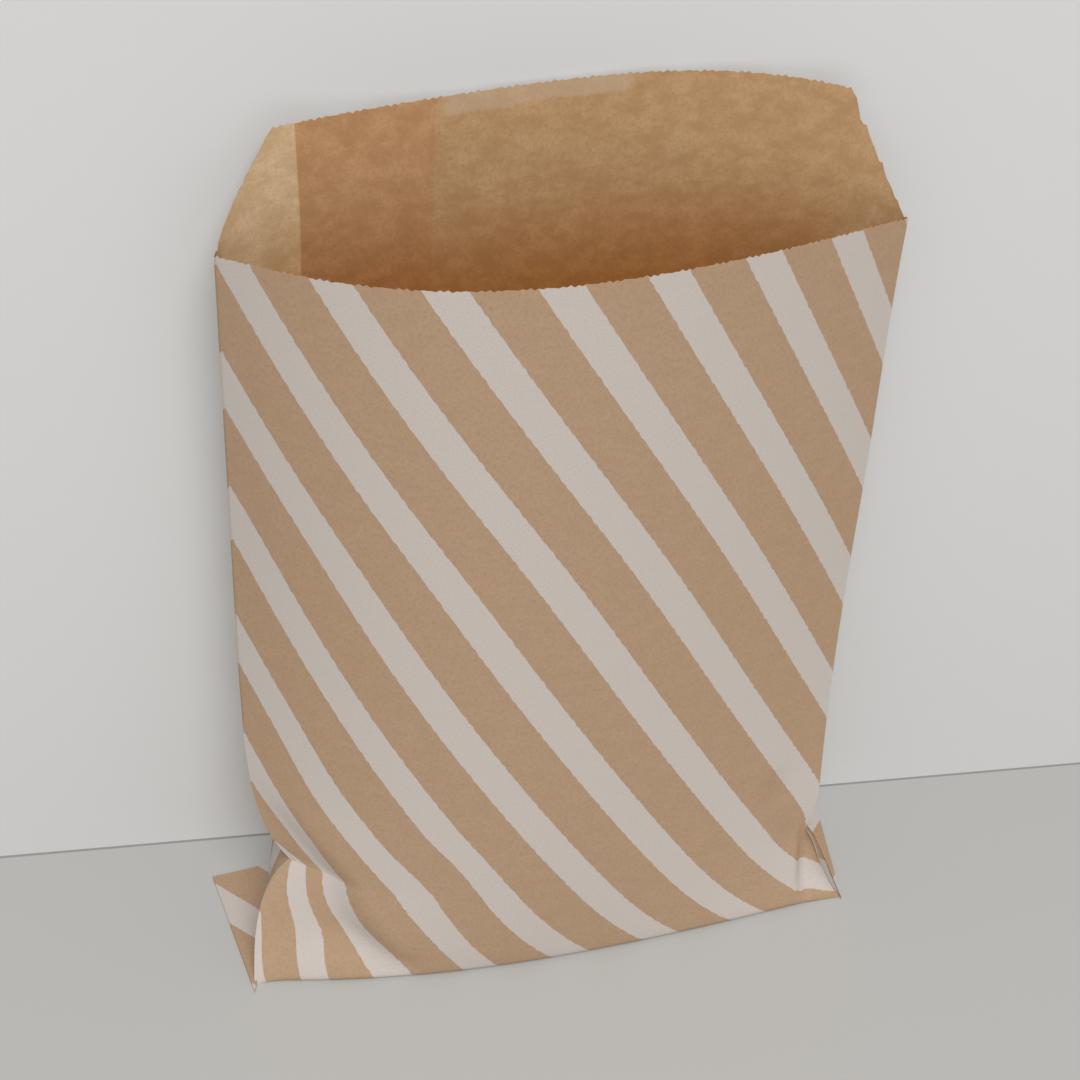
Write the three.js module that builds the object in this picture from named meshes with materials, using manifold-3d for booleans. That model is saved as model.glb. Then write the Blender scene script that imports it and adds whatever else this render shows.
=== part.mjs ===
// A flat paper bag, opened and stood up.
// A sheet of kraft paper is glued into a tube along the back, and the tube's end is turned up and glued.
// The front panel comes down to a soft bend and runs back along the table as the foot.
// Where the foot's ends are pressed flat they stick out at each side as two-layer ears.
// The mouth is cut with a lip that stands higher at the back, and its ends slope down to the side creases.
// Millimetres, +Z up. The origin is on the table, under the middle of the bag.
import * as THREE from 'three';
import { mergeVertices } from 'three/addons/utils/BufferGeometryUtils.js';
import Module from 'manifold-3d';

// Paper. A real sheet is about 0.1 thick; this is a sheet with its small crumples.
const PAPER = 0.25;
const EAR_LAYERS = 4;

// Foot, as it lies on the table
const FOOT_WIDTH = 127.5;
const FOOT_TURN = 3.3;
const FOOT_CENTRE_X = 2.4;
const FOOT_FRONT_Y = -14.2;
const FOOT_BULGE = 5.3;
const HEEL_Y = 16.8;
const FRONT_BEND_RADIUS = 2;

// Standing body, between the two side creases
const CREASE_SPACING = 118.6;
const CREASE_MIDDLE_X = -1.5;
const CREASE_HEIGHT = { left: 151.7, right: 153.4 };
const CREASE_SETTLE = { left: 32, right: 60 };
const CREASE_MOUTH_Y = { left: 8.1, right: 13.3 };
const CREASE_FLARE_HEIGHT = 9;
const PINCH_DEPTH = 8.3;
const PINCH_HEIGHT = 22;
const PINCH_SPREAD = { above: 9, below: 5.5 };

// The left side wall tucks in behind its crease, above the ear
const SIDE_TUCK = 6;
const SIDE_TUCK_HEIGHT = 22;

// Front panel: how far it swells ahead of the creases
const FRONT_SWELL = 21;
const FRONT_SWELL_RISE = 25;
const FRONT_PEAK_SHARE = 0.43;
const FRONT_FULLNESS = { left: 2.3, right: 1.7 };
const FRONT_CUT_CROWN = 2.8;
const FRONT_CUT_ROUNDNESS = 0.6;

// Back panel: a flat wall with rounded ends
const BACK_WALL_Y = 21.6;
const BACK_SETTLE = 12;
const BACK_SQUARENESS = { foot: 8, mouth: 2.5 };

// Lip, on the back of the mouth
const LIP_HEIGHT = { left: 17.2, right: 18.2 };
const LIP_SLOPE_START = { left: 2.2, right: 3 };
const LIP_SLOPE_WIDTH = { left: 12.6, right: 11.2 };
const LIP_CROWN = 6;
const LIP_CROWN_LEAN = 1.7;

// Saw-tooth of the cut edge
const TOOTH_PITCH = 1.3;
const TOOTH_DEPTH = 0.3;

// Glued laps
const SEAM_FROM_CREASE = 18.6;
const SEAM_LAP = 22.9;
const FLAP_HEIGHT = 22;

// Ears: the crease along the table, how far it splays out and how far its tip peeps out in front
const EAR = {
  left: { length: 31.9, splay: 13.6, peep: 2 },
  right: { length: 27.3, splay: 5.7, peep: 0.5 },
};
const EAR_HEEL_ANGLE = 54;

// Mesh fineness
const FRONT_STEPS = 30;
const BACK_STEPS = 30;
const ROW_STEPS = 18;
const STEP_WIDTH = 0.4;
const WELD = 0.001;
const MITRE_LIMIT = 1.6;

const KRAFT = new THREE.Color(0.42, 0.30, 0.19);

const turn = THREE.MathUtils.degToRad(FOOT_TURN);
const lerp = THREE.MathUtils.lerp;
const clamp = THREE.MathUtils.clamp;

// Where the side creases meet the table
const footTip = {
  left: new THREE.Vector2(
    FOOT_CENTRE_X - FOOT_WIDTH / 2 * Math.cos(turn),
    FOOT_FRONT_Y - FOOT_WIDTH / 2 * Math.sin(turn),
  ),
  right: new THREE.Vector2(
    FOOT_CENTRE_X + FOOT_WIDTH / 2 * Math.cos(turn),
    FOOT_FRONT_Y + FOOT_WIDTH / 2 * Math.sin(turn),
  ),
};

// How far the sharp fold of the pinch draws the left crease in at height z
function pinchAt(z) {
  const spread = z > PINCH_HEIGHT ? PINCH_SPREAD.above : PINCH_SPREAD.below;
  return PINCH_DEPTH * Math.exp(-Math.abs(z - PINCH_HEIGHT) / spread) * clamp(2 * z / PINCH_HEIGHT, 0, 1);
}

// A side crease at height z: out at the foot, pinched in on the left, then nearly upright
function creaseAt(side, z) {
  const outward = side === 'left' ? -1 : 1;
  const upright = CREASE_MIDDLE_X + outward * CREASE_SPACING / 2;
  const flare = (footTip[side].x - upright) * Math.exp(-z / CREASE_FLARE_HEIGHT);
  const pinch = side === 'left' ? pinchAt(z) : 0;
  const lean = Math.exp(-z / CREASE_SETTLE[side]);
  return new THREE.Vector2(
    upright + flare + pinch,
    lerp(CREASE_MOUTH_Y[side], footTip[side].y, lean),
  );
}

// The front panel's plan at height z, for a share from 0 at the left crease to 1 at the right one
function frontAt(share, z) {
  const plan = creaseAt('left', z).lerp(creaseAt('right', z), share);
  const onLeft = share < FRONT_PEAK_SHARE;
  const reach = onLeft ? FRONT_PEAK_SHARE : 1 - FRONT_PEAK_SHARE;
  const fullness = onLeft ? FRONT_FULLNESS.left : FRONT_FULLNESS.right;
  const profile = 1 - Math.pow(Math.abs(share - FRONT_PEAK_SHARE) / reach, fullness);
  const swell = lerp(FRONT_SWELL, FOOT_BULGE, Math.exp(-z / FRONT_SWELL_RISE));
  plan.y -= swell * profile;
  if (z < FRONT_BEND_RADIUS) {
    const left = FRONT_BEND_RADIUS - z;
    const tuck = FRONT_BEND_RADIUS - Math.sqrt(FRONT_BEND_RADIUS ** 2 - left ** 2);
    plan.y += tuck * Math.min(1, 4 * profile);
  }
  return plan;
}

// The back panel's plan at height z: a rounded box shape, for an angle from 0 (left) to 180 (right)
function backAt(angle, z) {
  const theta = THREE.MathUtils.degToRad(angle);
  const rise = clamp(z / CREASE_HEIGHT.left, 0, 1);
  const power = 2 / lerp(BACK_SQUARENESS.foot, BACK_SQUARENESS.mouth, Math.sqrt(rise));
  const across = Math.sign(Math.cos(theta)) * Math.pow(Math.abs(Math.cos(theta)), power);
  const share = clamp((1 - across) / 2, 0, 1);
  const plan = creaseAt('left', z).lerp(creaseAt('right', z), share);
  const wall = lerp(BACK_WALL_Y, HEEL_Y, Math.exp(-z / BACK_SETTLE));
  const behind = Math.pow(Math.max(0, Math.sin(theta)), power);
  const tuck = SIDE_TUCK * Math.exp(-((z / SIDE_TUCK_HEIGHT) ** 2));
  plan.x += tuck * (1 - share) * Math.sqrt(behind);
  plan.y = lerp(plan.y, wall, behind);
  return plan;
}

// Distances along the back panel from the left crease, measured at crease height
const BACK_SAMPLES = 360;
const backLengths = [0];
for (let i = 1; i <= BACK_SAMPLES; i += 1) {
  const from = backAt(180 * (i - 1) / BACK_SAMPLES, CREASE_HEIGHT.left);
  const to = backAt(180 * i / BACK_SAMPLES, CREASE_HEIGHT.left);
  backLengths.push(backLengths[i - 1] + from.distanceTo(to));
}
const backWidth = backLengths[BACK_SAMPLES];

function backDistance(angle) {
  const place = angle / 180 * BACK_SAMPLES;
  const below = Math.min(Math.floor(place), BACK_SAMPLES - 1);
  return lerp(backLengths[below], backLengths[below + 1], place - below);
}

function backAngle(distance) {
  const above = backLengths.findIndex((length) => length >= distance);
  const span = backLengths[above] - backLengths[above - 1];
  return 180 / BACK_SAMPLES * (above - 1 + (distance - backLengths[above - 1]) / span);
}

// Height of the cut edge, on the front and on the lip
function frontTop(share) {
  const level = lerp(CREASE_HEIGHT.left, CREASE_HEIGHT.right, share);
  const crown = Math.pow(Math.max(0, Math.sin(Math.PI * share)), FRONT_CUT_ROUNDNESS);
  return level + FRONT_CUT_CROWN * crown;
}

function backTop(distance) {
  const share = distance / backWidth;
  const side = share < 0.5 ? 'left' : 'right';
  const fromEnd = Math.min(distance, backWidth - distance);
  const slope = clamp((fromEnd - LIP_SLOPE_START[side]) / LIP_SLOPE_WIDTH[side], 0, 1);
  const level = lerp(CREASE_HEIGHT.left, CREASE_HEIGHT.right, share);
  const crown = LIP_CROWN * Math.sin(Math.PI * Math.pow(share, LIP_CROWN_LEAN));
  return level + slope * (lerp(LIP_HEIGHT.left, LIP_HEIGHT.right, share) + crown);
}

// One column of the paper runs from the foot to the cut edge
function makeColumns() {
  const columns = [];
  for (let i = 0; i <= FRONT_STEPS; i += 1) {
    const share = i / FRONT_STEPS;
    columns.push({ plan: (z) => frontAt(share, z), top: frontTop(share), lapped: false, back: false });
  }
  const seamEdges = [SEAM_FROM_CREASE, SEAM_FROM_CREASE + SEAM_LAP];
  const slopeEnds = [
    LIP_SLOPE_START.left,
    LIP_SLOPE_START.left + LIP_SLOPE_WIDTH.left,
    backWidth - LIP_SLOPE_START.right - LIP_SLOPE_WIDTH.right,
    backWidth - LIP_SLOPE_START.right,
  ];
  const distances = [];
  for (let i = 1; i < BACK_STEPS; i += 1) distances.push(backWidth * i / BACK_STEPS);
  const edges = [...seamEdges, ...slopeEnds];
  const kept = distances.filter((d) => edges.every((edge) => Math.abs(d - edge) > 2 * STEP_WIDTH));
  for (const edge of seamEdges) kept.push(edge - STEP_WIDTH / 2, edge + STEP_WIDTH / 2);
  for (const end of slopeEnds) kept.push(end);
  kept.sort((a, b) => b - a);
  for (const distance of kept) {
    const angle = backAngle(distance);
    columns.push({
      plan: (z) => backAt(angle, z),
      top: backTop(distance),
      lapped: distance > seamEdges[0] && distance < seamEdges[1],
      back: true,
    });
  }
  return columns;
}

// Heights of the rows up one column, close together at the bend and at the flap's edge
function rowHeights(top) {
  const low = [0, FRONT_BEND_RADIUS * 0.3, FRONT_BEND_RADIUS];
  const flap = [FLAP_HEIGHT - STEP_WIDTH / 2, FLAP_HEIGHT + STEP_WIDTH / 2];
  const between = [6, 11, 16].map((z) => z / 22 * FLAP_HEIGHT);
  const heights = [...low, ...between, ...flap];
  for (let i = 1; i <= ROW_STEPS; i += 1) heights.push(lerp(FLAP_HEIGHT, top, i / ROW_STEPS));
  return heights;
}

// Sheet surfaces: the outer grid, and the inner one a paper's thickness inside it
function makeGrids(columns) {
  const middle = columns.map(({ plan, top }) => rowHeights(top).map((z) => {
    const place = plan(z);
    return new THREE.Vector3(place.x, place.y, z);
  }));
  const count = columns.length;
  const rows = middle[0].length;
  const outer = [];
  const inner = [];
  for (let c = 0; c < count; c += 1) {
    outer.push([]);
    inner.push([]);
    for (let r = 0; r < rows; r += 1) {
      const here = middle[c][r];
      const before = here.clone().sub(middle[(c + count - 1) % count][r]).setZ(0).normalize();
      const after = middle[(c + 1) % count][r].clone().sub(here).setZ(0).normalize();
      const outward = before.clone().add(after).normalize();
      outward.set(outward.y, -outward.x, 0);
      const mitre = Math.min(MITRE_LIMIT, Math.sqrt(2 / (1 + before.dot(after))));
      const inFlap = columns[c].back && here.z < FLAP_HEIGHT;
      const out = here.clone().addScaledVector(outward, inFlap ? PAPER : 0);
      const depth = columns[c].lapped ? 2 * PAPER : PAPER;
      const within = here.clone().addScaledVector(outward, -depth * mitre);
      within.z = Math.max(within.z, PAPER);
      outer[c].push(out);
      inner[c].push(within);
    }
  }
  return { outer, inner };
}

// Closed body of the bag: outer wall, inner wall, saw-tooth cut edge and the two faces of the foot
function makeBody() {
  const { outer, inner } = makeGrids(makeColumns());
  const count = outer.length;
  const rows = outer[0].length;
  const top = rows - 1;
  const positions = [];
  const triangles = [];
  const addPoint = (point) => positions.push(point.x, point.y, point.z) / 3 - 1;
  for (const grid of [outer, inner]) for (const column of grid) column.forEach(addPoint);
  const outerIndex = (c, r) => (c % count) * rows + r;
  const innerIndex = (c, r) => count * rows + (c % count) * rows + r;
  const quad = (a, b, c, d) => triangles.push(a, b, c, a, c, d);

  // The cut edge between two columns: the column tops, with teeth in between
  const cutEdge = (grid, index, c, teeth) => {
    const from = grid[c][top];
    const to = grid[(c + 1) % count][top];
    const edge = [index(c, top)];
    for (let i = 1; i < 2 * teeth; i += 1) {
      const point = from.clone().lerp(to, i / (2 * teeth));
      if (i % 2 === 1) point.z -= TOOTH_DEPTH;
      edge.push(addPoint(point));
    }
    edge.push(index(c + 1, top));
    return edge;
  };

  for (let c = 0; c < count; c += 1) {
    for (let r = 0; r + 1 < top; r += 1) {
      quad(outerIndex(c, r), outerIndex(c + 1, r), outerIndex(c + 1, r + 1), outerIndex(c, r + 1));
      quad(innerIndex(c + 1, r), innerIndex(c, r), innerIndex(c, r + 1), innerIndex(c + 1, r + 1));
    }
    const width = outer[c][top].distanceTo(outer[(c + 1) % count][top]);
    const teeth = width < TOOTH_PITCH ? 0.5 : Math.round(width / TOOTH_PITCH);
    const outerEdge = cutEdge(outer, outerIndex, c, teeth);
    const innerEdge = cutEdge(inner, innerIndex, c, teeth);
    const [outerLeft, outerRight] = [outerIndex(c, top - 1), outerIndex(c + 1, top - 1)];
    const [innerLeft, innerRight] = [innerIndex(c, top - 1), innerIndex(c + 1, top - 1)];
    const half = Math.floor(outerEdge.length / 2);
    triangles.push(outerLeft, outerRight, outerEdge[half], innerRight, innerLeft, innerEdge[half]);
    for (let i = 0; i + 1 < outerEdge.length; i += 1) {
      const outerFoot = i < half ? outerLeft : outerRight;
      const innerFoot = i < half ? innerLeft : innerRight;
      triangles.push(outerFoot, outerEdge[i + 1], outerEdge[i]);
      triangles.push(innerFoot, innerEdge[i], innerEdge[i + 1]);
      quad(outerEdge[i], outerEdge[i + 1], innerEdge[i + 1], innerEdge[i]);
    }
  }
  const plan = (grid) => grid.map((column) => new THREE.Vector2(column[0].x, column[0].y));
  for (const [a, b, c] of THREE.ShapeUtils.triangulateShape(plan(outer), [])) {
    triangles.push(outerIndex(a, 0), outerIndex(c, 0), outerIndex(b, 0));
  }
  for (const [a, b, c] of THREE.ShapeUtils.triangulateShape(plan(inner), [])) {
    triangles.push(innerIndex(a, 0), innerIndex(b, 0), innerIndex(c, 0));
  }
  const geometry = new THREE.BufferGeometry();
  geometry.setAttribute('position', new THREE.Float32BufferAttribute(positions, 3));
  geometry.setIndex(triangles);
  return geometry;
}

// One ear: the flattened corner of the tube, between the tip, the corner and the heel
function makeEar(side) {
  const outward = side === 'left' ? -1 : 1;
  const splay = THREE.MathUtils.degToRad(EAR[side].splay);
  const tip = footTip[side].clone().add(new THREE.Vector2(0, -EAR[side].peep));
  const corner = new THREE.Vector2(
    tip.x + outward * EAR[side].length * Math.sin(splay),
    tip.y + EAR[side].length * Math.cos(splay),
  );
  const inside = [];
  for (let angle = 4; angle <= EAR_HEEL_ANGLE; angle += 10) {
    const place = backAt(side === 'left' ? angle : 180 - angle, 0);
    inside.push(new THREE.Vector2(place.x - outward * PAPER / 2, place.y));
  }
  const outline = [tip, corner, ...inside.reverse()];
  const shape = new THREE.Shape(outline);
  return new THREE.ExtrudeGeometry(shape, { depth: EAR_LAYERS * PAPER, bevelEnabled: false });
}

const wasm = await Module();
wasm.setup();

function toSolid(geometry) {
  const plain = geometry.clone();
  plain.deleteAttribute('normal');
  plain.deleteAttribute('uv');
  const merged = mergeVertices(plain, WELD);
  const index = merged.index.array;
  const triVerts = [];
  for (let i = 0; i < index.length; i += 3) {
    const [a, b, c] = [index[i], index[i + 1], index[i + 2]];
    if (a !== b && b !== c && c !== a) triVerts.push(a, b, c);
  }
  return new wasm.Manifold(new wasm.Mesh({
    numProp: 3,
    vertProperties: merged.attributes.position.array,
    triVerts: new Uint32Array(triVerts),
  }));
}

function toGeometry(solid) {
  const mesh = solid.getMesh();
  const geometry = new THREE.BufferGeometry();
  geometry.setAttribute('position', new THREE.BufferAttribute(mesh.vertProperties, 3));
  geometry.setIndex(new THREE.BufferAttribute(mesh.triVerts, 1));
  geometry.computeVertexNormals();
  return geometry;
}

const bagSolid = toSolid(makeBody()).add(toSolid(makeEar('left'))).add(toSolid(makeEar('right')));

const paperBag = new THREE.Mesh(
  toGeometry(bagSolid),
  new THREE.MeshStandardMaterial({ color: KRAFT, roughness: 0.9, metalness: 0, side: THREE.DoubleSide }),
);
paperBag.name = 'paper_bag';

// The origin goes under the middle of the whole bag, ears and lip included
paperBag.geometry.computeBoundingBox();
const middle = paperBag.geometry.boundingBox.getCenter(new THREE.Vector3());
paperBag.position.set(-middle.x, -middle.y, 0);

const group = new THREE.Group();
group.name = 'paper_bag_standing';
group.add(paperBag);

export default group;
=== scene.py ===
# The finish of a striped kraft paper bag that stands open on its folded foot, against a pale wall.
# Lengths in the named values are millimetres, but for the stage and light, and MM turns them
# into Blender's metres.
import bpy
import math
from mathutils import Matrix, Vector


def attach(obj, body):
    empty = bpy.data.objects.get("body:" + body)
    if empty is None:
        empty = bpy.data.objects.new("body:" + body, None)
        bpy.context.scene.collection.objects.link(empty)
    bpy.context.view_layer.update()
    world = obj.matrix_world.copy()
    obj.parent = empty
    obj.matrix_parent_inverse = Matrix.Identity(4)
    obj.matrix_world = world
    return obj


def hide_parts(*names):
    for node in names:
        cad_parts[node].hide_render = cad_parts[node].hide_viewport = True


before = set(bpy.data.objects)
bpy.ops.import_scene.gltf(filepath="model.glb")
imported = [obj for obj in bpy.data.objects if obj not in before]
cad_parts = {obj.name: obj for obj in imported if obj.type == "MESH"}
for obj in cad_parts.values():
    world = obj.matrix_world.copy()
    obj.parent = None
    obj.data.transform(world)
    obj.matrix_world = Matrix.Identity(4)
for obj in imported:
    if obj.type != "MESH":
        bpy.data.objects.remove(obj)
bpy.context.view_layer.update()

MM = 0.001

# The sizes below are drawn about the solid's own drawing origin. This shift brings them to
# the frame's, at the middle of the solid's box.
ORIGIN_SHIFT = Vector((0.0, -0.59, 0.0))

# Foot and side creases. The right pinch and the bow are in this finish only.
FOOT_WIDTH = 127.5
FOOT_TURN = math.radians(3.3)
FOOT_CENTRE_X = 2.4
FOOT_FRONT_Y = -14.2
FOOT_BULGE = 5.3
HEEL_Y = 16.8
FRONT_BEND_RADIUS = 2.0
CREASE_SPACING = 118.6
CREASE_MIDDLE_X = -1.5
CREASE_HEIGHT = {"left": 151.7, "right": 153.4}
CREASE_SETTLE = {"left": 32.0, "right": 60.0}
CREASE_MOUTH_Y = {"left": 8.1, "right": 13.3}
CREASE_FLARE_HEIGHT = 9.0
RIGHT_BOW = 1.4
BOW_RISE = 25.0
BOW_FALL = 60.0
PINCH = {
    "left": {"depth": 8.3, "height": 22.0, "above": 9.0, "below": 5.5, "reach": 14.5},
    "right": {"depth": 3.4, "height": 17.0, "above": 4.0, "below": 3.5, "reach": 6.0},
}
SIDE_TUCK = 6.0
SIDE_TUCK_HEIGHT = 22.0

# Panels
FRONT_SWELL = 21.0
FRONT_SWELL_RISE = 25.0
FRONT_PEAK_SHARE = 0.43
FRONT_FULLNESS = {"left": 2.3, "right": 1.7}
FRONT_CUT_CROWN = 2.8
FRONT_CUT_ROUNDNESS = 0.6
FRONT_BEND_FADE = 4.0
BACK_WALL_Y = 21.6
BACK_SETTLE = 12.0
BACK_SQUARE_FOOT = 8.0
BACK_SQUARE_MOUTH = 2.25

# Lip and laps
LIP_HEIGHT = {"left": 17.2, "right": 18.2}
LIP_SLOPE_START = {"left": 2.5, "right": 1.6}
LIP_SLOPE_WIDTH = {"left": 11.7, "right": 12.6}
LIP_CROWN = 6.0
LIP_CROWN_LEAN = 1.7
SEAM_FROM_CREASE = 18.6
SEAM_LAP = 24.2
SEAM_SLANT = 0.034
FLAP_HEIGHT = 22.0
FLAP_EDGE = 0.1
PAPER = 0.12
SHARP_ANGLE = math.radians(50)

# A slanting fold runs from the pinch to the foot: places across the front panel and up.
# The corner facet left of it is set back, and the panel right of it stands forward.
FOLD_TOP = (5.5, 38.0)
FOLD_LOW = (25.5, 10.0)
FOLD_WIDTH = 11.0
FACET_BACK = 1.8
PANEL_FORWARD = 1.0
FOLD_FADE = 12.0
FOLD_OVERRUN = {"above": 6.0, "below": 8.0}
FACET_EDGE = 5.0

# The right corner facet: an upright fold from the pinch to the foot, and the corner behind it
# set back
CORNER_TOP = (128.5, 17.0)
CORNER_LOW = (121.0, 0.0)
CORNER_WIDTH = 3.0
CORNER_BACK = 4.2
CORNER_FADE = 5.0
CORNER_RISE = 6.0
CORNER_OVERRUN = 3.0
CORNER_TAKE = 6.0
CORNER_TAKE_HEIGHT = 16.0

# The folds draw the print to the left, or to the right where the draw is less than 0.
# The draw falls off across the panel, straight or in a bend, and low down the left crease
# holds the print.
PRINT_DRAW = 1.1
PRINT_FALL = {"low": 3.0, "mouth": 0.5}
PRINT_FALL_HEIGHTS = (70.0, 160.0)
PRINT_BEND = {"low": 2.2, "mouth": 0.15}
PRINT_BEND_HEIGHTS = (30.0, 105.0)
HELD_WIDTH = 50.0
HELD_HEIGHTS = (15.0, 45.0)
ABOVE_PINCH = {"draw": 1.2, "across": 16.0, "width": 10.0, "height": 42.0, "spread": 12.0}
IN_FOLD = {"draw": 1.2, "beside": 1.0, "width": 6.0, "rising": (6.0, 14.0), "falling": (32.0, 24.0)}
ON_FACET = {"draw": -6.2, "beside": (-3.0, -10.0), "rising": (0.0, 12.0), "falling": (27.0, 19.0)}
PAST_FOLD = {"draw": -1.8, "across": 40.0, "width": 9.0, "falling": (38.0, 26.0)}

# Soft hollows pressed into the sheet: from one place to another, each across the panel and up
HOLLOWS = (
    {"start": (20.0, 10.0), "end": (33.0, 3.0), "width": 4.0, "depth": 1.0},
    {"start": (118.0, 30.0), "end": (127.0, 12.0), "width": 4.0, "depth": 0.9},
)
HOLLOW_RISE = 3.0

# Share by which the print is shortened down the middle of the front panel, to fit the photo
SHEET_SHRINK = 0.025

# Stripes: the period across and down the sheet, their phase and the white share
STRIPE_ACROSS = 18.47
STRIPE_DOWN = 27.74
STRIPE_PHASE = 0.02
STRIPE_WHITE = 0.412
SHEET_WIDTH = 130.0

# Saw-tooth of the cut edge. Two waves along the edge make it uneven, each with its height,
# rate and start.
TOOTH_PITCH = 1.3
TOOTH_DEPTH = 0.36
TOOTH_MEAN = 0.6
TOOTH_WAVES = ((0.4, 1.9, 0.0), (0.5, 0.61, 1.0))

# Small tears in the right slope of the lip: distance from the right crease, and depth
TEARS = ((11.8, 1.5), (9.6, 0.5), (7.9, 0.8), (5.6, 0.6), (4.0, 0.7))
TEAR_WIDTH = 0.9

# Rows of the mesh, up from the table: close in the bend, even in the crumple, and close again
# under the cut edge, where EDGE_ROWS are distances down from it
BEND_ROWS = (0.0, 0.2, 0.5, 0.9, 1.4, 2.0)
CRUMPLE_STEP = 2.0
CRUMPLE_ROWS = 24
UPPER_ROWS = 26
EDGE_ROWS = (3.0, 1.8, 1.0, 0.5, 0.0)

# Ears
EAR_LENGTH = {"left": 31.9, "right": 27.3}
EAR_PEEP = {"left": 2.0, "right": 0.5}
EAR_SPLAY = {"left": math.radians(13.6), "right": math.radians(5.7)}
EAR_THICKNESS = 0.7
EAR_HEEL_ANGLES = range(54, 3, -5)
EAR_INSET = 0.3
EAR_FROM_CUT = 40.0
EAR_STRIPE_START = {"left": 1.445, "right": -7.5}

# Camera, fitted to the photo
CAMERA_PLACE = (Vector((-60.46, -238.56, 285.67)) + ORIGIN_SHIFT) * MM
CAMERA_LOOK = Vector((0.17776, 0.77103, -0.61149))
CAMERA_ROLL = math.radians(4.69)
CAMERA_LENS = 56.67
CAMERA_SENSOR = 36.0

# Colours, linear
KRAFT = (0.432, 0.290, 0.183)
KRAFT_INSIDE = (0.485, 0.293, 0.145)
INK_WHITE = (0.552, 0.505, 0.468)
LAP_TINT = (1.00, 0.89, 0.83)
# Painted light: a tint that lightens the inner paper beside the lap, where it faces the light
SIDE_LIGHT_TINT = (1.28, 1.46, 1.70)
# Painted shade and interreflected colour deep inside the bag
DEEP_SHADE_TINT = (0.76, 0.51, 0.25)
BAND_TINT = (0.56, 0.42, 0.30)
WALL = (0.655, 0.652, 0.645)
TABLE = (0.485, 0.478, 0.460)
# Painted shade: the dark strip where the table meets the wall
GAP_SHADE = (0.34, 0.34, 0.33)

# Stage and light, in metres and watts
WALL_Y = 0.0218
GAP_HEIGHT = 0.0007
GAP_AHEAD = 0.0001
STAGE_REACH = 2.0
WALL_ROUGHNESS = 0.8
TABLE_ROUGHNESS = 0.6
STAGE_SPECULAR = 0.1
WINDOW_PLACE = (-0.04, -1.15, 1.55)
WINDOW_TARGET = (0.0, 0.0, 0.1)
WINDOW_SIZE = 1.3
WINDOW_POWER = 29.0
ROOM_COLOUR = (0.80, 0.80, 0.80)
ROOM_STRENGTH = 0.54

# Marks inside, by distance round the sheet: the lap, and the pale band under the lip's edge.
# Painted shade: the paper is darker and warmer further down, between the two distances of DEEP from the cut
# edge.
LAP_INSIDE = (2 * SHEET_WIDTH - SEAM_FROM_CREASE - SEAM_LAP, 2 * SHEET_WIDTH - SEAM_FROM_CREASE)
LAP_SHARE = 0.75
BAND_INSIDE = (2 * SHEET_WIDTH - 78.0, 2 * SHEET_WIDTH - 43.0)
BAND_FADE = 3.0
BAND_EDGE = (2.6, 3.6)
BAND_WAVE = 3.0
BAND_SHARE = 0.45
DEEP = (11.0, 42.0)
MARK_SOFT = 0.15

# Paper: how much the clouds, fibres and flecks change its colour, and how the print lies on it
CLOUD_SPREAD = {"inside": 0.12, "outside": 0.025}
CLOUD_WEIGHTS = (0.8, 1.1, 1.5)
FIBRE_SHADE = 0.80
FIBRE_SHARE = 0.6
FLECK_SHADE = 0.62
FLECK_SHARE = 0.7
STRIPE_WOBBLE = 0.005
WHOLE_STRIPES = 40.0
STRIPE_SOFT = 0.006
PRINT_WORN = 0.74
PAPER_ROUGHNESS = 0.82
PAPER_SPECULAR = 0.25
BUMP_STRENGTH = 0.35
BUMP_HEIGHT = 0.05

# Noise patterns of the paper: scale, detail, roughness and, for some, a stretch across and down
CLOUD_NOISE = (0.30, 6.0, 0.66, (0.7, 1.0, 0.0))
FIBRE_NOISE = (1.6, 6.0, 0.7, (1.0, 0.75, 0.0))
FLECK_NOISE = (2.6, 3.0, 0.8, (0.6, 1.0, 0.0))
BAND_NOISE = (0.07, 2.0, 0.6)
WOBBLE_NOISE = (2.2, 4.0, 0.7)
WEAR_NOISE = (3.0, 5.0, 0.75)
BUMP_NOISE = (2.2, 6.0, 0.75)
NOISE_MIDDLE = 0.5

# The two noise values between which each pattern comes in
CLOUD_RANGE = (0.36, 0.66)
FIBRE_RANGE = (0.42, 0.68)
FLECK_RANGE = (0.59, 0.68)
WEAR_RANGE = (0.38, 0.58)


def lerp(a, b, t):
    return a + (b - a) * t


def clamp(value, low=0.0, high=1.0):
    return max(low, min(high, value))


def smooth(value):
    t = clamp(value)
    return t * t * (3 - 2 * t)


def between(value, start, end):
    """Rises smoothly from 0 at start to 1 at end, which may lie below start."""
    return smooth((value - start) / (end - start))


def bell(value, middle, width):
    return math.exp(-((value - middle) / width) ** 2)


FOOT_TIP = {
    "left": (
        FOOT_CENTRE_X - FOOT_WIDTH / 2 * math.cos(FOOT_TURN),
        FOOT_FRONT_Y - FOOT_WIDTH / 2 * math.sin(FOOT_TURN),
    ),
    "right": (
        FOOT_CENTRE_X + FOOT_WIDTH / 2 * math.cos(FOOT_TURN),
        FOOT_FRONT_Y + FOOT_WIDTH / 2 * math.sin(FOOT_TURN),
    ),
}


def pinch_at(side, z, from_crease):
    """How far the sharp fold of a pinch draws the sheet in at height z. It fades near the foot."""
    pinch = PINCH[side]
    spread = pinch["above" if z > pinch["height"] else "below"]
    near = math.exp(-abs(z - pinch["height"]) / spread - from_crease / pinch["reach"])
    return pinch["depth"] * near * clamp(2 * z / pinch["height"])


def beside_fold(across, z):
    """Distance to the right of the slanting fold."""
    slant = (FOLD_LOW[0] - FOLD_TOP[0]) / (FOLD_TOP[1] - FOLD_LOW[1])
    return across - FOLD_TOP[0] - (FOLD_TOP[1] - z) * slant


def corner_fold(z):
    """Place across the front panel of the right corner's upright fold."""
    return lerp(CORNER_LOW[0], CORNER_TOP[0], clamp(z / CORNER_TOP[1]))


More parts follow.
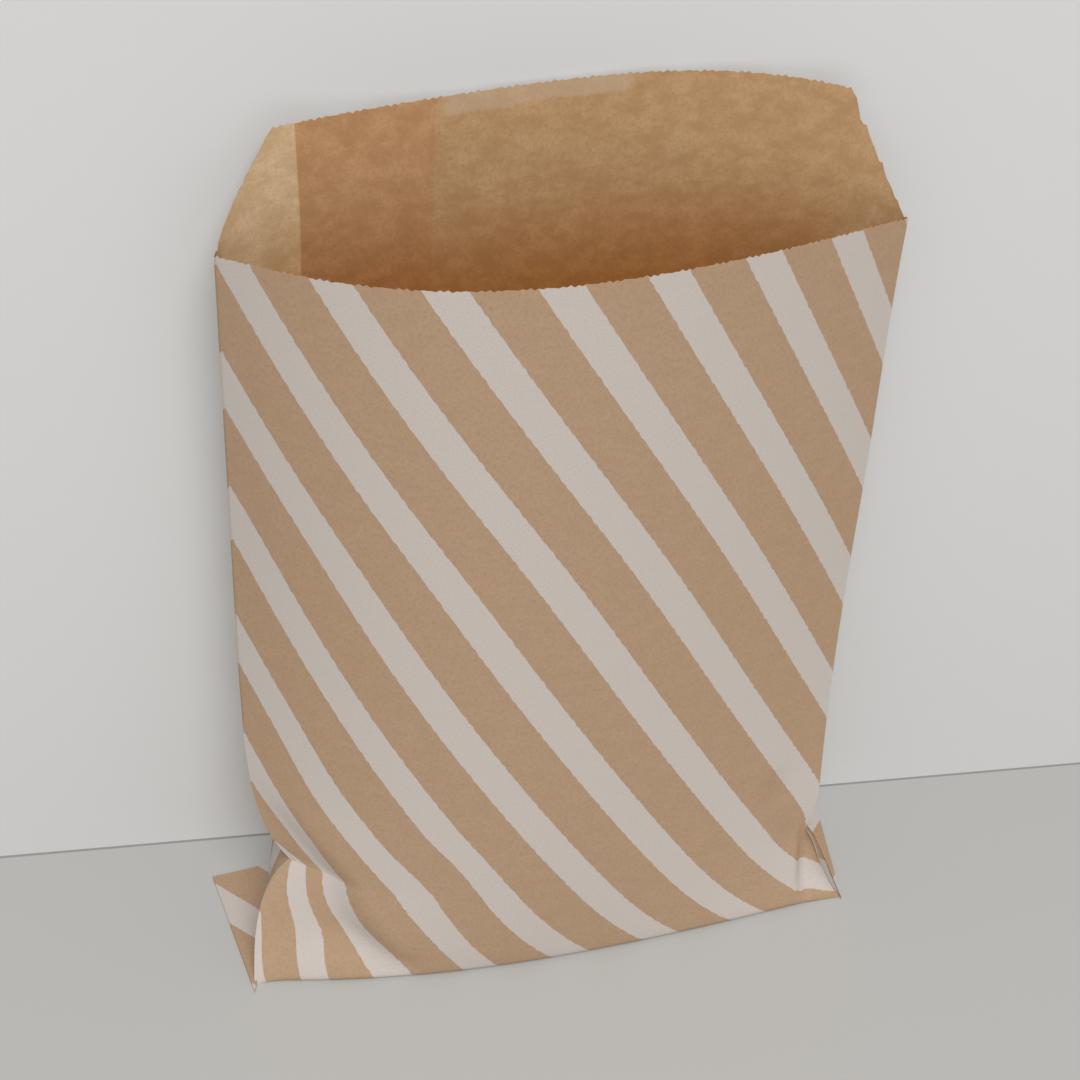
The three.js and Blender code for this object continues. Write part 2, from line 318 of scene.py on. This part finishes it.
def corner_take(z):
    """Paper taken up behind the right corner's fold."""
    return CORNER_TAKE * clamp(1 - z / CORNER_TAKE_HEIGHT)


def print_draw(across, z):
    """How far the print of the front panel is drawn to the left by paper taken up in the folds."""
    share = across / SHEET_WIDTH
    fall = lerp(PRINT_FALL["low"], PRINT_FALL["mouth"], between(z, *PRINT_FALL_HEIGHTS))
    bend = lerp(PRINT_BEND["low"], PRINT_BEND["mouth"], between(z, *PRINT_BEND_HEIGHTS))
    free = lerp(smooth(across / HELD_WIDTH), 1.0, between(z, *HELD_HEIGHTS))
    drawn = free * (PRINT_DRAW - fall * share ** bend) + RIGHT_BOW * share * bow_share(z)
    beside = beside_fold(across, z)
    drawn += (ABOVE_PINCH["draw"] * bell(across, ABOVE_PINCH["across"], ABOVE_PINCH["width"])
              * bell(z, ABOVE_PINCH["height"], ABOVE_PINCH["spread"]))
    drawn += (IN_FOLD["draw"] * bell(beside, IN_FOLD["beside"], IN_FOLD["width"])
              * between(z, *IN_FOLD["rising"]) * between(z, *IN_FOLD["falling"]))
    drawn += (ON_FACET["draw"] * between(beside, *ON_FACET["beside"])
              * between(z, *ON_FACET["rising"]) * between(z, *ON_FACET["falling"]))
    drawn += (PAST_FOLD["draw"] * bell(across, PAST_FOLD["across"], PAST_FOLD["width"])
              * between(z, *PAST_FOLD["falling"]))
    fold = corner_fold(z)
    return drawn - corner_take(z) * clamp((across - fold) / (SHEET_WIDTH - fold))


def fold_offset(across, z):
    """How far the folds move the front panel back, or forward where it is less than 0."""
    beside = beside_fold(across, z)
    forward = PANEL_FORWARD * math.exp(-max(beside, 0.0) / FOLD_FADE)
    offset = lerp(FACET_BACK, -forward, smooth(beside / FOLD_WIDTH + 0.5))
    offset *= between(z, FOLD_TOP[1] + FOLD_OVERRUN["above"], FOLD_TOP[1] - FOLD_OVERRUN["below"])
    offset *= smooth(z / FOLD_LOW[1]) * (1 - math.exp(-across / FACET_EDGE))
    corner = CORNER_BACK * smooth((across - corner_fold(z)) / CORNER_WIDTH + 0.5)
    corner *= 1 - math.exp((across - SHEET_WIDTH) / CORNER_FADE)
    corner *= between(z, CORNER_TOP[1] + CORNER_OVERRUN, CORNER_TOP[1] - CORNER_OVERRUN)
    return offset + corner * smooth(z / CORNER_RISE)


def bow_share(z):
    """Share of the right crease's bow that it has at height z, between the foot and the mouth."""
    return smooth(z / BOW_RISE) * smooth((CREASE_HEIGHT["right"] - z) / BOW_FALL)


def crease_at(side, z):
    """Plan of a side crease at height z, but for the pinch."""
    outward = -1 if side == "left" else 1
    upright = CREASE_MIDDLE_X + outward * CREASE_SPACING / 2
    flare = (FOOT_TIP[side][0] - upright) * math.exp(-z / CREASE_FLARE_HEIGHT)
    bow = RIGHT_BOW * bow_share(z) if side == "right" else 0.0
    lean = math.exp(-z / CREASE_SETTLE[side])
    return upright + flare + bow, lerp(CREASE_MOUTH_Y[side], FOOT_TIP[side][1], lean)


def between_creases(share, z):
    left = crease_at("left", z)
    right = crease_at("right", z)
    pinch = pinch_at("left", z, share * CREASE_SPACING)
    pinch -= pinch_at("right", z, (1 - share) * CREASE_SPACING)
    return lerp(left[0], right[0], share) + pinch, lerp(left[1], right[1], share)


def front_at(share, z):
    """Plan of the front panel at height z, share 0 at the left crease and 1 at the right one."""
    x, y = between_creases(share, z)
    on_left = share < FRONT_PEAK_SHARE
    reach = FRONT_PEAK_SHARE if on_left else 1 - FRONT_PEAK_SHARE
    fullness = FRONT_FULLNESS["left" if on_left else "right"]
    profile = 1 - (abs(share - FRONT_PEAK_SHARE) / reach) ** fullness
    swell = lerp(FRONT_SWELL, FOOT_BULGE, math.exp(-z / FRONT_SWELL_RISE))
    y -= swell * profile
    if z < FRONT_BEND_RADIUS:
        left = FRONT_BEND_RADIUS - z
        tuck = FRONT_BEND_RADIUS - math.sqrt(FRONT_BEND_RADIUS ** 2 - left ** 2)
        y += tuck * min(1.0, FRONT_BEND_FADE * profile)
    return x, y + fold_offset(share * SHEET_WIDTH, z)


def back_at(angle, z):
    """Plan of the back panel at height z, angle 0 at the left crease, HALF_TURN at the right."""
    theta = math.radians(angle)
    rise = clamp(z / CREASE_HEIGHT["left"])
    power = 2 / lerp(BACK_SQUARE_FOOT, BACK_SQUARE_MOUTH, math.sqrt(rise))
    across = math.copysign(abs(math.cos(theta)) ** power, math.cos(theta))
    share = clamp((1 - across) / 2)
    x, y = between_creases(share, z)
    wall = lerp(BACK_WALL_Y, HEEL_Y, math.exp(-z / BACK_SETTLE))
    behind = max(0.0, math.sin(theta)) ** power
    tuck = SIDE_TUCK * math.exp(-(z / SIDE_TUCK_HEIGHT) ** 2)
    return x + tuck * (1 - share) * math.sqrt(behind), lerp(y, wall, behind)


def running_length(plan, steps, last, z=CREASE_HEIGHT["left"]):
    """Distances along a panel at height z, for evenly spaced parameters from 0 to last."""
    lengths = [0.0]
    before = plan(0.0, z)
    for i in range(1, steps + 1):
        here = plan(last * i / steps, z)
        lengths.append(lengths[-1] + math.dist(before, here))
        before = here
    return lengths


def parameter_at(lengths, last, distance):
    """The parameter whose running length is distance."""
    low = 0
    high = len(lengths) - 1
    while high - low > 1:
        mid = (low + high) // 2
        if lengths[mid] <= distance:
            low = mid
        else:
            high = mid
    span = lengths[high] - lengths[low]
    return last * (low + (distance - lengths[low]) / span) / (len(lengths) - 1)


HALF_TURN = 180.0
FRONT_STEPS = 600
BACK_STEPS = 900
FRONT_LENGTHS = running_length(front_at, FRONT_STEPS, 1.0)
FRONT_WIDTH = FRONT_LENGTHS[-1]
BACK_WIDTH = running_length(back_at, BACK_STEPS, HALF_TURN)[-1]
BACK_SAMPLES = 400
BACK_PLACES = 200
LEVEL_STEP = 2.0
LEVELS = 91


def back_row(z):
    """Evenly spaced places along the back panel at height z."""
    samples = [Vector(back_at(HALF_TURN * i / BACK_SAMPLES, z)) for i in range(BACK_SAMPLES + 1)]
    lengths = running_length(back_at, BACK_SAMPLES, HALF_TURN, z)
    row = []
    for i in range(BACK_PLACES):
        place = parameter_at(lengths, BACK_SAMPLES, lengths[-1] * i / BACK_PLACES)
        left = int(place)
        row.append(samples[left].lerp(samples[left + 1], place - left))
    return row + [samples[-1]]


BACK_ROWS = [back_row(LEVEL_STEP * i) for i in range(LEVELS)]


def back_place(share, z):
    """Plan of the back panel, by the share of its length from the left crease."""
    level = z / LEVEL_STEP
    low = min(int(level), LEVELS - 2)
    place = share * BACK_PLACES
    left = min(int(place), BACK_PLACES - 1)
    lower, upper = [row[left].lerp(row[left + 1], place - left) for row in BACK_ROWS[low:low + 2]]
    return tuple(lower.lerp(upper, level - low))


def tooth(index):
    """The saw-tooth at one column, a little uneven from tooth to tooth."""
    waves = (height * math.sin(rate * index + start) for height, rate, start in TOOTH_WAVES)
    return TOOTH_DEPTH / 2 * (TOOTH_MEAN + sum(waves)) * (1 if index % 2 else -1)


def tear(from_right):
    """How deep the tears cut the lip, at a distance from the right crease."""
    return sum(depth * max(0.0, 1 - abs(from_right - place) / TEAR_WIDTH) for place, depth in TEARS)


def mouth_level(share):
    """Height of the line between the creases' upper ends."""
    return lerp(CREASE_HEIGHT["left"], CREASE_HEIGHT["right"], share)


def front_top(share):
    """Height of the front's cut edge."""
    return mouth_level(share) + FRONT_CUT_CROWN * max(0.0, math.sin(math.pi * share)) ** FRONT_CUT_ROUNDNESS


def back_top(distance):
    """Height of the lip's cut edge, at a distance along it from the left crease."""
    share = distance / BACK_WIDTH
    side = "left" if share < 0.5 else "right"
    from_end = min(distance, BACK_WIDTH - distance)
    slope = clamp((from_end - LIP_SLOPE_START[side]) / LIP_SLOPE_WIDTH[side])
    height = lerp(LIP_HEIGHT["left"], LIP_HEIGHT["right"], share)
    crown = LIP_CROWN * math.sin(math.pi * share ** LIP_CROWN_LEAN)
    return mouth_level(share) + slope * (height + crown)


def make_columns():
    """Every column of the sheet, anticlockwise seen from above, two to a tooth."""
    columns = []
    count = 2 * round(SHEET_WIDTH / TOOTH_PITCH)
    for i in range(count + 1):
        distance = FRONT_WIDTH * i / count
        share = parameter_at(FRONT_LENGTHS, 1.0, distance)
        columns.append({
            "plan": lambda z, s=share: front_at(s, z),
            "top": front_top(share) + tooth(i),
            "u": SHEET_WIDTH * i / count,
            "inner_u": SHEET_WIDTH * i / count,
            "lapped": False,
            "back": False,
            "start_v": 0.0,
            "shrink": 1 - SHEET_SHRINK * math.sin(math.pi * i / count),
        })
    for i in range(1, count):
        share = 1 - i / count
        distance = BACK_WIDTH * share
        from_left = SHEET_WIDTH * share
        before_lap = from_left < SEAM_FROM_CREASE
        columns.append({
            "plan": lambda z, s=share: back_place(s, z),
            "top": back_top(distance) + tooth(i) - tear(BACK_WIDTH - distance),
            "from_left": from_left,
            "u": -from_left if before_lap else 2 * SHEET_WIDTH - from_left,
            "inner_u": 2 * SHEET_WIDTH - from_left,
            "lapped": SEAM_FROM_CREASE < from_left < SEAM_FROM_CREASE + SEAM_LAP,
            "back": True,
            "start_v": mouth_level(share) - back_top(distance),
            "shrink": 1.0,
        })
    return columns


def row_heights(top):
    """Heights up one column, whose cut edge is at top."""
    heights = list(BEND_ROWS)
    heights += [BEND_ROWS[-1] + CRUMPLE_STEP * i for i in range(1, CRUMPLE_ROWS + 1)]
    start = heights[-1]
    heights += [FLAP_HEIGHT - FLAP_EDGE]
    heights.sort()
    heights += [lerp(start, top - EDGE_ROWS[0], i / UPPER_ROWS) for i in range(1, UPPER_ROWS + 1)]
    return heights + [top - depth for depth in EDGE_ROWS[1:]]


def hollow_depth(across, z):
    """How far the hollows press the front panel in, at a place across it and up."""
    depth = 0.0
    for hollow in HOLLOWS:
        start = Vector(hollow["start"])
        line = Vector(hollow["end"]) - start
        place = Vector((across, z)) - start
        along = clamp(place.dot(line) / line.length_squared)
        away = (place - line * along).length / hollow["width"]
        depth += hollow["depth"] * math.exp(-away ** 2)
    return depth


def sheet_grid(columns):
    """The points of every column, from the foot up."""
    grid = []
    for column in columns:
        heights = row_heights(column["top"])
        grid.append([Vector((*column["plan"](z), z)) for z in heights])
    return grid


def distances_down(columns, grid):
    """How far down the print each point lies, measured along its column."""
    down = []
    for column, line in zip(columns, grid):
        length = [0.0] * len(line)
        for r in range(len(line) - 2, -1, -1):
            length[r] = length[r + 1] + (line[r] - line[r + 1]).length
        down.append([column["start_v"] + d * column["shrink"] for d in length])
    return down


def outward_normals(grid):
    """Level directions out of the sheet at every point."""
    normals = []
    for c, line in enumerate(grid):
        before = grid[c - 1]
        after = grid[(c + 1) % len(grid)]
        normals.append([])
        for r, here in enumerate(line):
            arriving = (here - before[r]).to_2d().normalized()
            leaving = (after[r] - here).to_2d().normalized()
            along = (arriving + leaving).normalized()
            normals[-1].append(Vector((along.y, -along.x, 0.0)))
    return normals


def sheet_point(column, here, normal, inside):
    """A point of the outer or the inner face: the lap and the flap are two layers thick."""
    if not column["back"]:
        here = here - normal * hollow_depth(column["u"], here.z) * smooth(here.z / HOLLOW_RISE)
    if inside:
        place = here - normal * (2 * PAPER if column["lapped"] else PAPER)
        place.z = max(place.z, PAPER)
        return place
    on_flap = column["back"] and here.z < FLAP_HEIGHT
    return here + normal * (PAPER if on_flap else 0.0)


def sheet_place(column, z, down, inside):
    """Where on the print a point lies: across, down, and its distance from the cut edge."""
    across = column["inner_u"] if inside else column["u"]
    if not column["back"]:
        across += print_draw(across, z)
    elif z < FLAP_HEIGHT and not inside:
        across = column["from_left"]
        down = CREASE_HEIGHT["left"] + HEEL_Y - FOOT_FRONT_Y + z
    return across, down, column["top"] - z


def sheet_faces(count, rows):
    """The sheet's faces, and the numbers of those that show plain paper."""
    faces = []
    plain = set()

    def index(c, r, inside):
        return (c % count) * rows + r + (count * rows if inside else 0)

    def add(corners, is_plain):
        if is_plain:
            plain.add(len(faces))
        faces.append(tuple(index(*corner) for corner in corners))

    top = rows - 1
    for c in range(count):
        for r in range(top):
            add([(c, r, False), (c + 1, r, False), (c + 1, r + 1, False), (c, r + 1, False)], False)
            add([(c, r, True), (c, r + 1, True), (c + 1, r + 1, True), (c + 1, r, True)], True)
        add([(c, top, False), (c + 1, top, False), (c + 1, top, True), (c, top, True)], True)
    add([(c, 0, False) for c in reversed(range(count))], False)
    add([(c, 0, True) for c in range(count)], True)
    return faces, plain


def build_sheet():
    """Points, faces, places on the print, and the numbers of the plain faces."""
    columns = make_columns()
    grid = sheet_grid(columns)
    down = distances_down(columns, grid)
    normals = outward_normals(grid)
    points = []
    places = []
    for inside in (False, True):
        for c, column in enumerate(columns):
            for r, here in enumerate(grid[c]):
                points.append(sheet_point(column, here, normals[c][r], inside))
                places.append(sheet_place(column, here.z, down[c][r], inside))
    faces, plain = sheet_faces(len(columns), len(grid[0]))
    return points, faces, places, plain


def build_ear(side):
    """The flattened corner of the tube, a thin plate, and its places on the print."""
    outward = -1 if side == "left" else 1
    tip = Vector(FOOT_TIP[side]) + Vector((0.0, -EAR_PEEP[side]))
    along = Vector((outward * math.sin(EAR_SPLAY[side]), math.cos(EAR_SPLAY[side])))
    into = Vector((-outward * along.y, outward * along.x))
    corner = tip + along * EAR_LENGTH[side]
    outline = [tip, corner]
    for angle in EAR_HEEL_ANGLES:
        x, y = back_at(angle if side == "left" else HALF_TURN - angle, 0.0)
        outline.append(Vector((x - outward * EAR_INSET, y)))
    if side == "right":
        outline.reverse()
    outline.reverse()
    points = []
    places = []
    for z in (0.0, EAR_THICKNESS):
        for place in outline:
            from_corner = corner - place
            points.append(Vector((place.x, place.y, z)))
            down = EAR_STRIPE_START[side] - from_corner.dot(along)
            places.append((-abs(from_corner.dot(into)), down, EAR_FROM_CUT))
    count = len(outline)
    faces = [tuple(reversed(range(count))), tuple(range(count, 2 * count))]
    for i in range(count):
        j = (i + 1) % count
        faces.append((i, j, count + j, count + i))
    return points, faces, places


class PaperShader:
    """A paper material's nodes, which read the sheet's own coordinates in millimetres."""

    def __init__(self, name):
        self.material = bpy.data.materials.new(name)
        self.material.use_nodes = True
        self.nodes = self.material.node_tree.nodes
        self.links = self.material.node_tree.links
        self.nodes.clear()
        attribute = self.nodes.new("ShaderNodeAttribute")
        attribute.attribute_name = "paper"
        self.place = attribute.outputs["Vector"]
        split = self.nodes.new("ShaderNodeSeparateXYZ")
        self.links.new(self.place, split.inputs["Vector"])
        self.across = split.outputs["X"]
        self.down = split.outputs["Y"]
        self.from_cut = split.outputs["Z"]

    def put(self, socket, value):
        """Sets a socket to a number or a colour, or links it to another socket."""
        if isinstance(value, (int, float)):
            socket.default_value = value
        elif isinstance(value, tuple):
            socket.default_value = (*value, 1.0)
        else:
            self.links.new(value, socket)

    def math(self, operation, *values):
        node = self.nodes.new("ShaderNodeMath")
        node.operation = operation
        for socket, value in zip(node.inputs, values):
            self.put(socket, value)
        return node.outputs[0]

    def product(self, *values):
        result = values[0]
        for value in values[1:]:
            result = self.math("MULTIPLY", result, value)
        return result

    def noise(self, scale, detail, rough, stretch=(1.0, 1.0, 0.0)):
        mapping = self.nodes.new("ShaderNodeMapping")
        mapping.inputs["Scale"].default_value = stretch
        self.links.new(self.place, mapping.inputs["Vector"])
        node = self.nodes.new("ShaderNodeTexNoise")
        node.inputs["Scale"].default_value = scale
        node.inputs["Detail"].default_value = detail
        node.inputs["Roughness"].default_value = rough
        self.links.new(mapping.outputs["Vector"], node.inputs["Vector"])
        return node.outputs["Fac"]

    def waver(self, *pattern):
        """A noise that goes to both sides of 0."""
        return self.math("SUBTRACT", self.noise(*pattern), NOISE_MIDDLE)

    def ramp(self, value, low, high, to_low=0.0, to_high=1.0):
        node = self.nodes.new("ShaderNodeMapRange")
        node.interpolation_type = "SMOOTHSTEP"
        node.inputs["From Min"].default_value = low
        node.inputs["From Max"].default_value = high
        node.inputs["To Min"].default_value = to_low
        node.inputs["To Max"].default_value = to_high
        self.links.new(value, node.inputs["Value"])
        return node.outputs["Result"]

    def step(self, value, place, softness):
        """0 before place and 1 after it."""
        return self.ramp(value, place - softness, place + softness)

    def mix(self, factor, a, b, blend="MIX"):
        node = self.nodes.new("ShaderNodeMix")
        node.data_type = "RGBA"
        node.blend_type = blend
        for socket, value in ((node.inputs[0], factor), (node.inputs[6], a), (node.inputs[7], b)):
            self.put(socket, value)
        return node.outputs[2]


def shaded(colour, shade):
    return tuple(c * shade for c in colour)


def kraft_colour(paper, base, spread):
    """Clouds, fibres and flecks."""
    darker = tuple(c * (1 - spread * weight) for c, weight in zip(base, CLOUD_WEIGHTS))
    lighter = tuple(c * (1 + spread * weight) for c, weight in zip(base, CLOUD_WEIGHTS))
    clouds = paper.noise(*CLOUD_NOISE)
    colour = paper.mix(paper.ramp(clouds, *CLOUD_RANGE), darker, lighter)
    fibres = paper.ramp(paper.noise(*FIBRE_NOISE), *FIBRE_RANGE)
    colour = paper.mix(paper.product(fibres, FIBRE_SHARE), colour, shaded(base, FIBRE_SHADE))
    flecks = paper.ramp(paper.noise(*FLECK_NOISE), *FLECK_RANGE)
    return paper.mix(paper.product(flecks, FLECK_SHARE), colour, shaded(base, FLECK_SHADE))


def marked_inside(paper, colour):
    """The darker glued lap, painted light on the paper beside it, painted shade further down, and the pale
    band under the lip's edge.
    """
    slanted = paper.math("ADD", paper.across, paper.product(paper.from_cut, SEAM_SLANT))
    lit_beyond_lap = paper.step(slanted, LAP_INSIDE[1], MARK_SOFT)
    before_end = paper.ramp(slanted, LAP_INSIDE[1] - MARK_SOFT, LAP_INSIDE[1] + MARK_SOFT, 1.0, 0.0)
    lap = paper.product(paper.step(paper.across, LAP_INSIDE[0], MARK_SOFT), before_end)
    colour = paper.mix(paper.product(lap, LAP_SHARE), colour, LAP_TINT, "MULTIPLY")
    # Painted light: the paper beside the lap is lightened where it faces the light.
    colour = paper.mix(lit_beyond_lap, colour, SIDE_LIGHT_TINT, "MULTIPLY")
    # Painted shade: darker and warmer further down inside the bag.
    colour = paper.mix(paper.ramp(paper.from_cut, *DEEP), colour, DEEP_SHADE_TINT, "MULTIPLY")
    wave = paper.product(paper.waver(*BAND_NOISE), BAND_WAVE)
    edge = paper.ramp(paper.math("ADD", paper.from_cut, wave), *BAND_EDGE, 1.0, 0.0)
    start = paper.ramp(paper.across, BAND_INSIDE[0], BAND_INSIDE[0] + BAND_FADE)
    end = paper.ramp(paper.across, BAND_INSIDE[1] - BAND_FADE, BAND_INSIDE[1], 1.0, 0.0)
    return paper.mix(paper.product(edge, start, end, BAND_SHARE), colour, BAND_TINT)


def printed(paper, colour):
    """White diagonal stripes, a little worn."""
    wobble = paper.product(paper.waver(*WOBBLE_NOISE), STRIPE_WOBBLE)
    across = paper.math("DIVIDE", paper.across, STRIPE_ACROSS)
    down = paper.math("DIVIDE", paper.down, STRIPE_DOWN)
    phase = paper.math("SUBTRACT", paper.math("SUBTRACT", across, down), STRIPE_PHASE)
    repeat = paper.math("FRACT", paper.math("ADD", paper.math("ADD", phase, wobble), WHOLE_STRIPES))
    from_middle = paper.math("ABSOLUTE", paper.math("SUBTRACT", repeat, STRIPE_WHITE / 2))
    edge = STRIPE_WHITE / 2
    inked = paper.ramp(from_middle, edge - STRIPE_SOFT, edge + STRIPE_SOFT, 1.0, 0.0)
    wear = paper.ramp(paper.noise(*WEAR_NOISE), *WEAR_RANGE, PRINT_WORN, 1.0)
    return paper.mix(paper.product(inked, wear), colour, INK_WHITE)


def paper_material(name, inside):
    """Kraft paper, plain with its marks inside and printed outside."""
    paper = PaperShader(name)
    if inside:
        colour = marked_inside(paper, kraft_colour(paper, KRAFT_INSIDE, CLOUD_SPREAD["inside"]))
    else:
        colour = printed(paper, kraft_colour(paper, KRAFT, CLOUD_SPREAD["outside"]))
    out = paper.nodes.new("ShaderNodeOutputMaterial")
    shader = paper.nodes.new("ShaderNodeBsdfPrincipled")
    bump = paper.nodes.new("ShaderNodeBump")
    bump.inputs["Strength"].default_value = BUMP_STRENGTH
    bump.inputs["Distance"].default_value = BUMP_HEIGHT * MM
    shader.inputs["Roughness"].default_value = PAPER_ROUGHNESS
    shader.inputs["Specular IOR Level"].default_value = PAPER_SPECULAR
    paper.links.new(paper.noise(*BUMP_NOISE), bump.inputs["Height"])
    paper.links.new(bump.outputs["Normal"], shader.inputs["Normal"])
    paper.links.new(colour, shader.inputs["Base Color"])
    paper.links.new(shader.outputs["BSDF"], out.inputs["Surface"])
    return paper.material


def plain_material(name, colour, roughness):
    material = bpy.data.materials.new(name)
    material.use_nodes = True
    shader = material.node_tree.nodes["Principled BSDF"]
    shader.inputs["Base Color"].default_value = (*colour, 1.0)
    shader.inputs["Roughness"].default_value = roughness
    shader.inputs["Specular IOR Level"].default_value = STAGE_SPECULAR
    return material


def make_bag():
    """One mesh for the sheet and its ears, printed outside and plain inside."""
    points, faces, places, plain = build_sheet()
    for side in ("left", "right"):
        ear_points, ear_faces, ear_places = build_ear(side)
        start = len(points)
        points += ear_points
        places += ear_places
        faces += [tuple(start + i for i in face) for face in ear_faces]
    mesh = bpy.data.meshes.new("bag_sheet")
    mesh.from_pydata([(p + ORIGIN_SHIFT) * MM for p in points], [], faces)
    attribute = mesh.attributes.new("paper", "FLOAT_VECTOR", "POINT")
    attribute.data.foreach_set("vector", [value for place in places for value in place])
    mesh.materials.append(paper_material("kraft_printed", inside=False))
    mesh.materials.append(paper_material("kraft_plain", inside=True))
    for i, polygon in enumerate(mesh.polygons):
        polygon.material_index = 1 if i in plain else 0
        polygon.use_smooth = len(polygon.vertices) == 4
    mesh.update()
    bag = bpy.data.objects.new("bag_sheet", mesh)
    bpy.context.scene.collection.objects.link(bag)
    bag.data.set_sharp_from_angle(angle=SHARP_ANGLE)
    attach(bag, "root")
    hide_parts("paper_bag")
    return bag


def plane(name, corners, material):
    mesh = bpy.data.meshes.new(name)
    mesh.from_pydata([Vector(c) for c in corners], [], [tuple(range(4))])
    mesh.materials.append(material)
    obj = bpy.data.objects.new(name, mesh)
    bpy.context.scene.collection.objects.link(obj)
    return obj


def front_only_material(name, colour):
    """Seen by the camera from the front only, so that it takes no part in the lighting."""
    material = plain_material(name, colour, WALL_ROUGHNESS)
    nodes = material.node_tree.nodes
    links = material.node_tree.links
    out = nodes["Material Output"]
    clear = nodes.new("ShaderNodeBsdfTransparent")
    blend = nodes.new("ShaderNodeMixShader")
    path = nodes.new("ShaderNodeLightPath")
    geometry = nodes.new("ShaderNodeNewGeometry")
    front = nodes.new("ShaderNodeMath")
    front.operation = "SUBTRACT"
    front.inputs[0].default_value = 1.0
    links.new(geometry.outputs["Backfacing"], front.inputs[1])
    seen = nodes.new("ShaderNodeMath")
    seen.operation = "MULTIPLY"
    links.new(path.outputs["Is Camera Ray"], seen.inputs[0])
    links.new(front.outputs[0], seen.inputs[1])
    links.new(seen.outputs[0], blend.inputs["Fac"])
    links.new(clear.outputs[0], blend.inputs[1])
    links.new(nodes["Principled BSDF"].outputs[0], blend.inputs[2])
    links.new(blend.outputs[0], out.inputs["Surface"])
    return material


def upright(name, y, top, material):
    corners = [(-STAGE_REACH, y, 0), (STAGE_REACH, y, 0)]
    corners += [(STAGE_REACH, y, top), (-STAGE_REACH, y, top)]
    plane(name, corners, material)


def make_stage():
    """The table, the wall behind it and a thin dark strip of painted shade where they meet."""
    table = plain_material("table_top", TABLE, TABLE_ROUGHNESS)
    corners = [(-STAGE_REACH, -STAGE_REACH, 0), (STAGE_REACH, -STAGE_REACH, 0)]
    corners += [(STAGE_REACH, STAGE_REACH, 0), (-STAGE_REACH, STAGE_REACH, 0)]
    plane("table", corners, table)
    # Painted shade: a thin dark strip stands for the shade in the join of table and wall.
    upright("gap", WALL_Y - GAP_AHEAD, GAP_HEIGHT, front_only_material("painted_gap_shade", GAP_SHADE))
    upright("wall", WALL_Y, STAGE_REACH, front_only_material("wall_paint", WALL))


def area_lamp(name, place, target, size, power):
    data = bpy.data.lights.new(name, "AREA")
    data.shape = "DISK"
    data.size = size
    data.energy = power
    lamp = bpy.data.objects.new(name, data)
    lamp.location = place
    lamp.rotation_euler = (Vector(target) - Vector(place)).to_track_quat("-Z", "Y").to_euler()
    bpy.context.scene.collection.objects.link(lamp)


def make_light():
    area_lamp("window", WINDOW_PLACE, WINDOW_TARGET, WINDOW_SIZE, WINDOW_POWER)
    world = bpy.data.worlds.new("room")
    world.use_nodes = True
    background = world.node_tree.nodes["Background"]
    background.inputs["Color"].default_value = (*ROOM_COLOUR, 1.0)
    background.inputs["Strength"].default_value = ROOM_STRENGTH
    bpy.context.scene.world = world
    bpy.context.scene.view_settings.view_transform = "Standard"


def make_camera():
    data = bpy.data.cameras.new("camera")
    data.lens = CAMERA_LENS
    data.sensor_width = CAMERA_SENSOR
    data.clip_start = 0.01
    camera = bpy.data.objects.new("camera", data)
    look = CAMERA_LOOK.normalized()
    level = look.cross(Vector((0, 0, 1))).normalized()
    upright = level.cross(look)
    right = level * math.cos(CAMERA_ROLL) + upright * math.sin(CAMERA_ROLL)
    up = right.cross(look)
    camera.matrix_world = Matrix((
        (right.x, up.x, -look.x, CAMERA_PLACE.x),
        (right.y, up.y, -look.y, CAMERA_PLACE.y),
        (right.z, up.z, -look.z, CAMERA_PLACE.z),
        (0, 0, 0, 1),
    ))
    bpy.context.scene.collection.objects.link(camera)
    bpy.context.scene.camera = camera


make_camera()
make_bag()
make_stage()
make_light()
